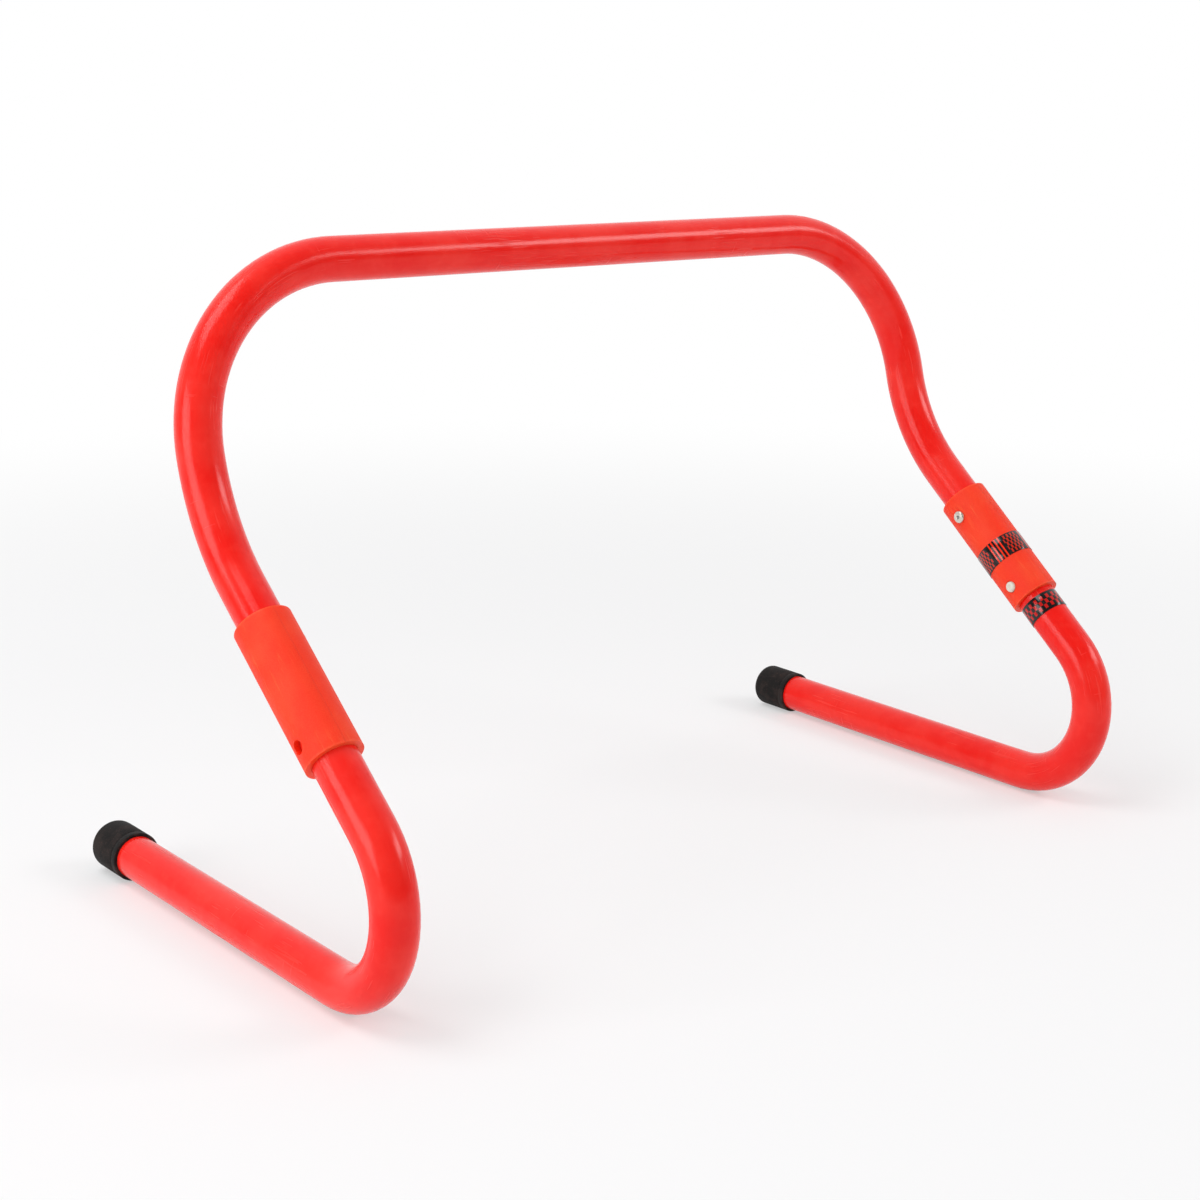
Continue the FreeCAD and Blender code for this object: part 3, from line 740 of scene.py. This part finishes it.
def band_finish(name, film, under, width, print_shape):
    """Glossy printed film: a dark ground, blocks of the colour under it, and worn print."""
    finish = new_finish(name)
    skin = finish.skin()
    across, beside, along = finish.parts(skin)
    turn = across.sum("ARCTAN2", beside) / (2 * math.pi)
    ragged = (finish.noise(skin, scale=2400, detail=2) - 0.5) * 0.025
    level = along / width + ragged
    blocks = print_shape(turn, level)
    worn = finish.noise(skin, scale=1500, detail=2).ramp(0.70, 0.76)
    thin = finish.noise(skin, scale=300, detail=2)
    shade = finish.blend(film, tuple(value * 2.2 + 0.01 for value in film), thin.ramp(0.4, 0.8))
    colour = finish.blend(shade, under, blocks.sum("MAXIMUM", worn * 0.7, clamp=True))
    creases = finish.noise(finish.stretched(skin, 1, 1, 0.3), scale=500, detail=2)
    return finish.surface(
        Base_Color=colour,
        Roughness=0.10 + thin * 0.08 + worn * 0.25,
        IOR=1.5,
        Normal=finish.bump(creases - blocks * 0.15, strength=0.25, distance=0.00008),
    )


def checks(turn, level, columns, rows, margin):
    """Staggered rows of squares, with a dark margin along both edges of the band."""
    row = (level - margin) * (rows / (1 - 2 * margin))
    stagger = (row - row.fraction()) * 0.5
    square = (turn * columns + stagger).fraction() < 0.45
    return square * (abs(level - 0.5) < 0.5 - margin) * CHECK_STRENGTH


def panels(turn, level):
    """The sleeve band's print: patches of fine checks with straight bars between them."""
    patches, bars, start = 4, 40, 0.1
    repeat = (turn * patches + start).fraction()
    in_patch = abs(repeat - 0.28) < 0.24
    in_gap = abs(repeat - 0.78) < 0.20
    bar = in_gap * ((turn * bars).fraction() < 0.40)
    return (in_patch * checks(turn, level, columns=36, rows=5, margin=0.05)).sum("MAXIMUM", bar)


def squares(turn, level):
    """The leg band's print: three staggered rows of squares."""
    return checks(turn, level, columns=18, rows=3, margin=0.14)


# --- the pieces ---


class HURDLE_OT_hoop(bpy.types.Operator):
    """Draws the hoop: bar, corner bends and leaning uprights in one tube"""

    bl_idname = "hurdle.hoop"
    bl_label = "Hoop"

    def execute(self, context):
        plan = Plan()
        tube, fit = plan.tube, plan.fit
        low = tube.leg_depth + tube.end_gap
        straight = fit.sleeve_length + tube.hoop_straight - low
        draw = Drawing("hoop_of_tube", plan.on_sleeve(low), plan.rise, tube.radius)
        draw.run(straight)
        draw.bend(ACROSS.cross(draw.heading), tube.lean_radius, tube.lean_angle)
        upright = draw.heading.copy()
        draw.bend(ACROSS, tube.corner_radius, QUARTER_TURN)
        draw.run(-2 * draw.point.x)
        draw.bend(-upright, tube.corner_radius, QUARTER_TURN)
        draw.bend(draw.heading.cross(ACROSS), tube.lean_radius, tube.lean_angle)
        draw.run(straight)
        piece = draw.close()
        wall_in(piece, tube.wall)
        rivet = plan.on_sleeve(fit.sleeve_length - fit.rivet_drop)
        for side in (1, -1):
            mouth = Vector((rivet.x * side, rivet.y, rivet.z))
            hole = fit.rivet_radius + fit.rivet_clearance
            drill(piece, mouth, ACROSS * side, hole, tube.radius * DRILL_REACH)
        round_rims(piece, tube.wall / 8)
        smooth(piece)
        straighten(piece, draw.line)
        deliver(piece, "hoop", "hoop_tube", tube_finish(context.scene.hurdle_colours))
        return {"FINISHED"}


class HURDLE_OT_legs(bpy.types.Operator):
    """Draws the left leg with its bend and foot, and mirrors it for the right"""

    bl_idname = "hurdle.legs"
    bl_label = "Legs"

    def execute(self, context):
        plan = Plan()
        tube, fit = plan.tube, plan.fit
        draw = Drawing("leg_left", plan.on_sleeve(tube.leg_depth), -plan.rise, tube.radius)
        draw.run(tube.leg_depth + tube.leg_straight)
        turn = math.acos(max(-1, min(1, draw.heading.dot(plan.foot_way))))
        draw.bend(plan.under, tube.bend_radius, turn)
        spare = tube.bend_radius * math.sin(plan.foot_tilt)
        draw.run(tube.foot_run + fit.cap_depth - spare)
        left = draw.close()
        wall_in(left, tube.wall)
        hole = fit.button_radius + fit.leg_lead
        drill(left, plan.on_sleeve(fit.button_rise), ACROSS, hole, tube.radius * DRILL_REACH)
        round_rims(left, tube.wall / 8)
        smooth(left)
        right = twin(left, "leg_right")
        straighten(left, draw.line, LEFT_SHIFT)
        straighten(right, mirrored(draw.line), RIGHT_SHIFT)
        material = bpy.data.materials["hurdle_tube_plastic"]
        deliver(left, "left_leg", "left_leg", material)
        deliver(right, "right_leg", "right_leg", material)
        return {"FINISHED"}


class HURDLE_OT_sleeves(bpy.types.Operator):
    """Draws the left sleeve with its rivet hole and two button holes, and mirrors it"""

    bl_idname = "hurdle.sleeves"
    bl_label = "Sleeves"

    def execute(self, context):
        plan = Plan()
        fit = plan.fit
        outside = plan.sleeve_outside
        draw = Drawing("sleeve_left", plan.on_sleeve(0), plan.rise, outside)
        draw.run(fit.sleeve_length)
        left = draw.close()
        wall_in(left, fit.sleeve_wall)
        button = plan.on_sleeve(fit.button_rise)
        rivet = plan.on_sleeve(fit.sleeve_length - fit.rivet_drop)
        reach = outside * DRILL_REACH
        drill(left, rivet, ACROSS, fit.rivet_radius + fit.rivet_clearance, reach)
        for way in (ACROSS, -ACROSS):
            drill(left, button, way, fit.button_radius + fit.hole_lead, reach)
        round_rims(left, fit.sleeve_edge, steps=3)
        smooth(left)
        right = twin(left, "sleeve_right")
        straighten(left, draw.line)
        straighten(right, mirrored(draw.line))
        material = sleeve_finish(context.scene.hurdle_colours, fit.sleeve_length)
        deliver(left, "hoop", "left_sleeve", material)
        deliver(right, "hoop", "right_sleeve", material)
        return {"FINISHED"}


class HURDLE_OT_foot_caps(bpy.types.Operator):
    """Turns the left rubber foot cap, grooved near its rim and dished at its end, and mirrors it"""

    bl_idname = "hurdle.foot_caps"
    bl_label = "Foot caps"

    def execute(self, context):
        plan = Plan()
        fit = plan.fit
        rim, way = plan.cap_rim(), plan.foot_way
        end = fit.cap_depth + fit.cap_end
        bore, outside = plan.cap_bore, plan.cap_outside
        groove = fit.cap_wall / 6
        profile = [(fit.cap_depth + fit.cap_clearance, bore), (0, bore), (0, outside)]
        for step, sink in CAP_GROOVE:
            profile.append((step * fit.cap_wall, outside - sink * groove))
        dish = outside / 2
        profile += [(end, outside), (end, dish), (end - groove, dish - groove)]
        left = turned_piece("foot_cap_left", rim, way, profile, TUBE_SIDES)

        def beside(distance, radius):
            """A test for points that far along the cap and from its centre line."""

            def near(point):
                arm = point - rim
                along = arm.dot(way)
                away = (arm - way * along).length
                return abs(along - distance) < SAME and abs(away - radius) < SAME

            return near

        round_edges(left, fit.cap_rounding, steps=8, wanted=beside(end, outside))
        round_edges(left, fit.cap_wall / 3, steps=3, wanted=beside(0, outside))
        smooth(left, degrees=50)
        right = twin(left, "foot_cap_right")
        line = [(rim, way, ACROSS, 0.0)]
        straighten(left, line)
        straighten(right, mirrored(line))
        material = rubber_finish(context.scene.hurdle_colours, end)
        deliver(left, "left_leg", "left_foot_cap", material)
        deliver(right, "right_leg", "right_foot_cap", material)
        return {"FINISHED"}


class HURDLE_OT_rivets(bpy.types.Operator):
    """Turns the rivets that hold the hoop in its sleeves, and their broken-off pins"""

    bl_idname = "hurdle.rivets"
    bl_label = "Rivets"

    def execute(self, context):
        plan = Plan()
        fit = plan.fit
        colours = context.scene.hurdle_colours
        centre = plan.on_sleeve(fit.sleeve_length - fit.rivet_drop)
        under, top = plan.sleeve_outside, plan.sleeve_outside + fit.rivet_height
        seat = math.sqrt(plan.bore**2 - fit.rivet_bulb**2) - fit.seat_gap
        back = seat - fit.bulb_length
        bore = fit.pin_radius + fit.pin_clearance
        profile = [(back, bore), (back, fit.rivet_bulb), (seat, fit.rivet_bulb)]
        profile += [(seat, fit.rivet_radius), (under, fit.rivet_radius)]
        profile += self.dome(under, top, fit.rivet_head, bore)
        rivet = turned_piece("rivet_left", centre, ACROSS, profile, bored=True)
        smooth(rivet, degrees=40)
        # The pin: its head behind the rivet, its shaft, and the rough end where it broke off.
        shoulder = back - fit.seat_gap
        end = shoulder - fit.pin_head_length
        chamfer = fit.seat_gap * 4
        tip = top - fit.pin_recess
        shaft = fit.pin_radius
        burr = shaft * 0.45
        profile = [(end, fit.pin_head * 0.8), (end + chamfer, fit.pin_head)]
        profile += [(shoulder, fit.pin_head), (shoulder, shaft), (tip - shaft / 4, shaft)]
        profile += [(tip - shaft / 8, shaft * 0.9), (tip - shaft / 4, burr * 1.3), (tip, burr)]
        pin = turned_piece("rivet_pin_left", centre, ACROSS, profile)
        smooth(pin, degrees=40)
        steel = metal_finish(
            "hurdle_rivet_pin", colours.pin, tarnish=0.55, roughness=0.30, streak=1
        )
        bare = metal_finish(
            "hurdle_rivet_metal", colours.rivet, tarnish=0.72, roughness=0.26, streak=0.2
        )
        for node, left, material in (("rivet", rivet, bare), ("rivet_pin", pin, steel)):
            right = twin(left, node + "_right")
            deliver(left, "hoop", "left_" + node, material)
            deliver(right, "hoop", "right_" + node, material)
        return {"FINISHED"}

    def dome(self, under, top, radius, bore):
        """Profile of a domed head, from its rim to the hole in its middle."""
        flange = under + (top - under) * 0.25
        profile = [(under, radius), (flange, radius)]
        for step in range(1, DOME_STEPS + 1):
            turn = QUARTER_TURN * step / (DOME_STEPS + 1)
            away = radius * (1 - 0.42 * (1 - math.cos(turn)) ** 0.9)
            profile.append((flange + (top - flange) * math.sin(turn), away))
        return profile + [(top, bore * 1.25), (top - bore * 0.12, bore)]


class HURDLE_OT_buttons(bpy.types.Operator):
    """Turns the left snap button with its collar and dimple, and mirrors it"""

    bl_idname = "hurdle.buttons"
    bl_label = "Snap buttons"

    def execute(self, context):
        plan = Plan()
        fit = plan.fit
        tip = plan.sleeve_outside + fit.button_proud
        collar, face, back = plan.collar, plan.collar_face, plan.collar_back
        nose, curve = fit.button_radius, fit.button_rounding
        profile = [(back, collar * 0.94), (back + curve / 8, collar), (face, collar)]
        profile += [(face, nose), (tip - curve, nose)]
        for step in range(1, NOSE_STEPS + 1):
            turn = QUARTER_TURN * step / NOSE_STEPS
            sink, narrow = curve * (1 - math.sin(turn)), curve * (1 - math.cos(turn))
            profile.append((tip - sink, nose - narrow))
        for step in range(DIMPLE_STEPS):
            turn = QUARTER_TURN * step / DIMPLE_STEPS
            away = fit.button_dimple * (0.25 + 0.75 * math.cos(turn))
            profile.append((tip - fit.dimple_depth * math.sin(turn), away))
        left = turned_piece("button_left", plan.on_sleeve(fit.button_rise), ACROSS, profile)
        smooth(left, degrees=40)
        right = twin(left, "button_right")
        material = button_finish(context.scene.hurdle_colours.button)
        deliver(left, "left_button", "left_button", material)
        deliver(right, "right_button", "right_button", material)
        return {"FINISHED"}


class HURDLE_OT_bands(bpy.types.Operator):
    """Wraps the printed bands round the right sleeve and the right leg"""

    bl_idname = "hurdle.bands"
    bl_label = "Printed bands"

    def execute(self, context):
        plan = Plan()
        tube, fit = plan.tube, plan.fit
        colours = context.scene.hurdle_colours
        wide, narrow = fit.sleeve_band_width, fit.leg_band_width
        high, low = fit.sleeve_band_rise, -fit.leg_band_drop - narrow
        above, below = colours.sleeve, colours.tube
        jobs = (
            ("sleeve_band", "hoop", plan.sleeve_outside, high, wide, above, panels),
            ("leg_band", "right_leg", tube.radius, low, narrow, below, squares),
        )
        for node, body, under, rise, width, shade, print_shape in jobs:
            start = MIRROR @ plan.on_sleeve(rise)
            outside = under + fit.band_clearance + fit.band_film
            draw = Drawing(node + "_film", start, plan.rise, outside)
            draw.run(width)
            piece = draw.close()
            wall_in(piece, fit.band_film)
            round_rims(piece, fit.band_film / 3)
            smooth(piece)
            straighten(piece, draw.line)
            material = band_finish("hurdle_" + node, colours.band, shade, width, print_shape)
            deliver(piece, body, node, material)
        return {"FINISHED"}


class HURDLE_OT_springs(bpy.types.Operator):
    """Folds the spring strips that push the snap buttons out"""

    bl_idname = "hurdle.springs"
    bl_label = "Button springs"

    def execute(self, context):
        plan = Plan()
        fit = plan.fit
        half, thick = fit.spring_width / 2, fit.spring_thickness
        long_arm = plan.collar_back - fit.seat_gap - thick / 2
        short_arm = math.sqrt((plan.bore - fit.spring_gap) ** 2 - half**2) - thick / 2
        fold = fit.button_rise - fit.spring_arm
        top = fit.button_rise + plan.collar
        start = plan.on_sleeve(top) + ACROSS * long_arm
        # The strip's outline is a square of four corners, squeezed to the strip's thickness.
        corner = (ACROSS + plan.under).normalized()
        out_to_corner = half * math.sqrt(2)
        draw = Drawing("button_spring_left", start, -plan.rise, out_to_corner, 4, corner)
        thinner = (thick / fit.spring_width, 1, 1)
        bpy.ops.transform.resize(value=thinner, center_override=start)
        draw.run(top - fold)
        draw.bend(-ACROSS, (long_arm + short_arm) / 2, math.pi)
        draw.run(fit.spring_back)
        fill_ends()
        left = draw.close()
        round_rims(left, thick / 5)
        smooth(left)
        right = twin(left, "button_spring_right")
        shade = context.scene.hurdle_colours.spring
        material = metal_finish(
            "hurdle_spring_steel", shade, tarnish=0.6, roughness=0.28, streak=0.15
        )
        still = plan.on_sleeve(fold + fit.spring_back) - ACROSS * short_arm
        reach = fit.spring_arm - plan.collar
        climb = ACROSS * (fit.spring_back / (long_arm + short_arm)) + plan.rise
        pushed = still + climb * (reach / climb.length_squared)
        self.hand_over(left, "left", still, pushed, material)
        self.hand_over(right, "right", MIRROR @ still, MIRROR @ pushed, material)
        return {"FINISHED"}

    def hand_over(self, piece, side, still, pushed, material):
        """Bakes the piece's place into its mesh and gives it its finish."""
        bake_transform(piece)
        dress(piece, side + "_button_spring", material)


# --- the stage ---


class HURDLE_OT_stage(bpy.types.Operator):
    """Sets up the floor, the soft lamps, the pale surroundings and the camera"""

    bl_idname = "hurdle.stage"
    bl_label = "Stage"

    def execute(self, context):
        self.floor(context.scene.hurdle_colours.floor)
        self.surroundings(context.scene)
        for settings in LAMPS:
            self.lamp(*settings)
        self.camera(context.scene)
        return {"FINISHED"}

    def floor(self, shade):
        """A round floor that is lit near the hurdle and plain white further out."""
        bpy.ops.object.select_all(action="DESELECT")
        bpy.ops.mesh.primitive_circle_add(
            vertices=FLOOR_SIDES, radius=FLOOR_RADIUS, fill_type="NGON"
        )
        piece = name_piece(bpy.context.object, "studio_floor")
        bpy.ops.object.mode_set(mode="EDIT")
        bpy.ops.mesh.select_all(action="SELECT")
        bpy.ops.mesh.inset(thickness=FLOOR_RIM)
        bpy.ops.object.mode_set(mode="OBJECT")
        finish = new_finish("studio_floor_paint")
        place = finish.place()
        mottle = finish.noise(place, scale=3, detail=2)
        colour = finish.blend(shade, tuple(value * 0.985 for value in shade), mottle)
        lit = finish.add("ShaderNodeBsdfDiffuse", None, {"Color": colour})
        plain = finish.add("ShaderNodeEmission", None, {"Color": WHITE, "Strength": 1.0})
        flat = finish.stretched(place, 1, 1, 0)
        away = finish.add("ShaderNodeVectorMath", {"operation": "LENGTH"}, {0: flat}, "Value")
        glow = away.ramp(GLOW_STARTS, GLOW_FULL) * (1 - FLOOR_GLOW) + FLOOR_GLOW
        inputs = {0: glow * seen(finish), 1: lit, 2: plain}
        piece.data.materials.append(finish.close(finish.add("ShaderNodeMixShader", None, inputs)))

    def surroundings(self, scene):
        """A pale world that lights softly and is seen as plain white."""
        scene.world = bpy.data.worlds.new("studio_surroundings")
        finish = Finish(scene.world)
        way = finish.add("ShaderNodeTexCoord", output="Generated")
        inputs = {0: way, 1: BACKDROP_WAY}
        back = finish.add("ShaderNodeVectorMath", {"operation": "DOT_PRODUCT"}, inputs, "Value")
        camera, glossy, clear = rays(finish)
        shine = glossy.sum("MAXIMUM", clear)
        shown = back.ramp(BACKDROP_FRONT, BACKDROP_BACK) * (1 - FRONT_SHINE) + FRONT_SHINE
        lit = shine * shown + (1 - shine) * WORLD_LIGHT
        inputs = {"Color": WHITE, "Strength": camera + (1 - camera) * lit}
        finish.close(finish.add("ShaderNodeBackground", None, inputs), "ShaderNodeOutputWorld")

    def lamp(self, name, place, target, size, power):
        """One soft rectangular lamp aimed at a point."""
        data = bpy.data.lights.new(name, "AREA")
        data.shape = "RECTANGLE"
        data.size, data.size_y = size
        data.energy = power
        lamp = bpy.data.objects.new(name, data)
        bpy.context.scene.collection.objects.link(lamp)
        lamp.location = place
        lamp.rotation_euler = (Vector(target) - Vector(place)).to_track_quat("-Z", "Y").to_euler()

    def camera(self, scene):
        """The camera, at the left front and a little above, aimed at the middle of the hurdle."""
        data = bpy.data.cameras.new("camera")
        data.sensor_width = CAMERA_FILM
        data.lens = CAMERA_LENS
        camera = bpy.data.objects.new("camera", data)
        scene.collection.objects.link(camera)
        camera.location = CAMERA_PLACE
        aim = Vector(CAMERA_AIM) - camera.location
        roll = Matrix.Rotation(CAMERA_ROLL, 3, "Z")
        camera.rotation_euler = (aim.to_track_quat("-Z", "Y").to_matrix() @ roll).to_euler()
        scene.camera = camera
        scene.view_settings.view_transform = "Standard"


def rays(finish):
    """1 for a ray from the camera, from a reflection and through clear material, in turn."""
    names = ("Is Camera Ray", "Is Glossy Ray", "Is Transmission Ray")
    return [finish.add("ShaderNodeLightPath", None, None, name) for name in names]


def seen(finish):
    """1 for any of those three rays, and 0 for the light that falls on things."""
    camera, glossy, clear = rays(finish)
    return camera.sum("MAXIMUM", glossy).sum("MAXIMUM", clear)


class HURDLE_PT_panel(bpy.types.Panel):
    """Lists the hurdle's pieces, sizes and colours"""

    bl_idname = "HURDLE_PT_panel"
    bl_label = "Agility hurdle"
    bl_space_type = "VIEW_3D"
    bl_region_type = "UI"
    bl_category = "Hurdle"

    def draw(self, context):
        for operator in OPERATORS:
            self.layout.operator(operator.bl_idname)
        for name in GROUPS:
            group = getattr(context.scene, name)
            box = self.layout.box()
            for key in group.__annotations__:
                box.prop(group, key)


OPERATORS = (
    HURDLE_OT_hoop,
    HURDLE_OT_legs,
    HURDLE_OT_sleeves,
    HURDLE_OT_foot_caps,
    HURDLE_OT_rivets,
    HURDLE_OT_buttons,
    HURDLE_OT_bands,
    HURDLE_OT_springs,
    HURDLE_OT_stage,
)
GROUPS = {
    "hurdle_tubes": HurdleTubeSizes,
    "hurdle_fittings": HurdleFittingSizes,
    "hurdle_colours": HurdleColours,
}


def register():
    """Adds the settings, the operators and the panel."""
    for name, group in GROUPS.items():
        bpy.utils.register_class(group)
        setattr(bpy.types.Scene, name, PointerProperty(type=group))
    for item in OPERATORS + (HURDLE_PT_panel,):
        bpy.utils.register_class(item)


def unregister():
    """Takes the panel, the operators and the settings away again."""
    for item in reversed(OPERATORS + (HURDLE_PT_panel,)):
        bpy.utils.unregister_class(item)
    for name, group in GROUPS.items():
        delattr(bpy.types.Scene, name)
        bpy.utils.unregister_class(group)


def main():
    """Builds every piece and the stage."""
    register()
    for operator in OPERATORS:
        family, action = operator.bl_idname.split(".")
        getattr(getattr(bpy.ops, family), action)()


if __name__ == "__main__":
    main()
